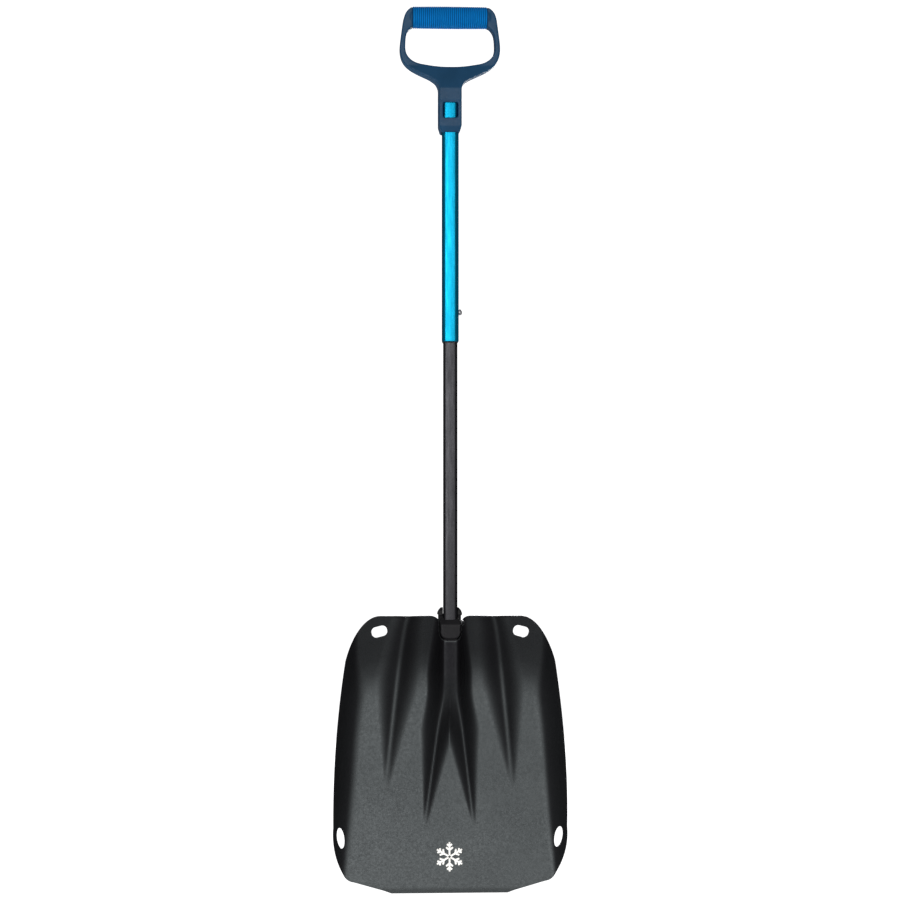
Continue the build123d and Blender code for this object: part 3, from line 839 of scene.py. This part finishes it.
# ---- CAD pieces that stay ------------------------------------------------------------------
def dress_nodes():
    """Procedural finish and softened corners for the CAD pieces that are shown as they are."""
    finishes = {
        # painted shadow: the black mouth bushing shows as a dark ring under the upper tube's end,
        # where that end throws its shadow
        "handle_rivet": "rivet_steel", "mouth_bushing": "black_plastic",
        "guide_plug": "black_plastic", "end_plug": "black_plastic",
        "upper_spring_clip": "spring_steel", "lower_spring_clip": "spring_steel",
        "socket_plate": "blade_coat", "socket_welds": "weld_metal", "collar_rivets": "rivet_steel",
    }
    for node, look in finishes.items():
        piece = nodes[node]
        for place in range(max(1, len(piece.data.materials))):
            if place < len(piece.data.materials):
                piece.data.materials[place] = LOOKS[look]
            else:
                piece.data.materials.append(LOOKS[look])
        soften = piece.modifiers.new("soften", "BEVEL")
        soften.width = 0.0005 if node == "socket_plate" else 0.0002
        soften.segments = 3
        soften.limit_method = "ANGLE"
        soften.angle_limit = radians(35)
        soften.harden_normals = True


# ---- camera, light and floor ---------------------------------------------------------------
DISTANCE = 3.0
YAW = radians(3.4)
AIM = Vector((0.0003, 0.0, -0.445))


def camera():
    """The photograph's view: nearly square on, a little from the left."""
    data = bpy.data.cameras.new("camera")
    data.sensor_width = 36
    data.lens = 36 * DISTANCE / 0.927
    item = bpy.data.objects.new("camera", data)
    bpy.context.scene.collection.objects.link(item)
    item.location = AIM + Vector((-sin(YAW), -cos(YAW), 0)) * DISTANCE
    item.rotation_euler = (AIM - item.location).to_track_quat("-Z", "Y").to_euler()
    bpy.context.scene.camera = item


def softbox(name, place, target, width, height, energy, tint=(1, 1, 1)):
    data = bpy.data.lights.new(name, "AREA")
    data.shape = "RECTANGLE"
    data.size = width
    data.size_y = height
    data.energy = energy
    data.color = tint
    item = bpy.data.objects.new(name, data)
    bpy.context.scene.collection.objects.link(item)
    item.location = place
    item.rotation_euler = (Vector(target) - Vector(place)).to_track_quat("-Z", "Y").to_euler()


def studio_paper():
    """White paper, lit so evenly that no shadow shows on it."""
    look = Look("studio_paper")
    look.color(look.mix(look.remap(look.noise(3), 0.0, 1.0), (0.90, 0.90, 0.90), (0.92, 0.92, 0.92)))
    look.shader.inputs["Roughness"].default_value = 0.9
    look.shader.inputs["Emission Color"].default_value = (1.0, 1.0, 1.0, 1.0)
    look.shader.inputs["Emission Strength"].default_value = 1.0
    return look.material


def stage_mesh(name, work, material):
    """A part of the studio from a bmesh."""
    mesh = bpy.data.meshes.new(name)
    work.to_mesh(mesh)
    work.free()
    for face in mesh.polygons:
        face.use_smooth = True
    mesh.materials.append(material)
    item = bpy.data.objects.new(name, mesh)
    bpy.context.scene.collection.objects.link(item)
    item.visible_glossy = False
    return item


def studio():
    """Grey world, a large soft light on each side, a white floor and a white dome round it."""
    scene = bpy.context.scene
    scene.view_settings.view_transform = "Standard"
    world = bpy.data.worlds.new("world")
    scene.world = world
    world.use_nodes = True
    world.node_tree.nodes["Background"].inputs["Color"].default_value = (0.14, 0.14, 0.145, 1)
    softbox("front_box", (-0.5, -3.6, 0.06), (0, 0, -0.5), 2.0, 2.1, 50)
    softbox("rear_box", (0.9, 3.4, 0.5), (0, 0, -0.5), 1.6, 1.6, 42)

    paper = studio_paper()
    floor = bmesh.new()
    corners = [floor.verts.new((x, y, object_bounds()[0][2]))
               for x, y in ((-2.6, -0.3), (2.6, -0.3), (2.6, 1.6), (-2.6, 1.6))]
    floor.faces.new(corners)
    stage_mesh("studio_floor", floor, paper)
    dome = bmesh.new()
    bmesh.ops.create_icosphere(dome, subdivisions=4, radius=9.0)
    backdrop = stage_mesh("studio_dome", dome, paper)
    backdrop.visible_diffuse = False
    backdrop.visible_shadow = False


camera()
blade_sheet()
emblem()
shaft_tube("upper_tube_skin", "upper_tube", 0.0, "upper_anodised", "handle",
           (BUTTON_HEIGHTS["upper"], COLLAPSED_BUTTON_HEIGHT), (0.8, 1.1))
shaft_tube("lower_tube_skin", "lower_tube", WALL + SLIDE_GAP, "lower_anodised", "lower_shaft",
           (BUTTON_HEIGHTS["upper"], BUTTON_HEIGHTS["lower"]), (0.3, 0.3))
snap_button("upper")
snap_button("lower")
moulded("handle_frame", "handle_shell", "handle_nylon", "handle", 0.7, 9)
moulded("socket_collar", "collar_moulding", "black_plastic", "blade", 0.5, 5)
grip()
dress_nodes()
studio()
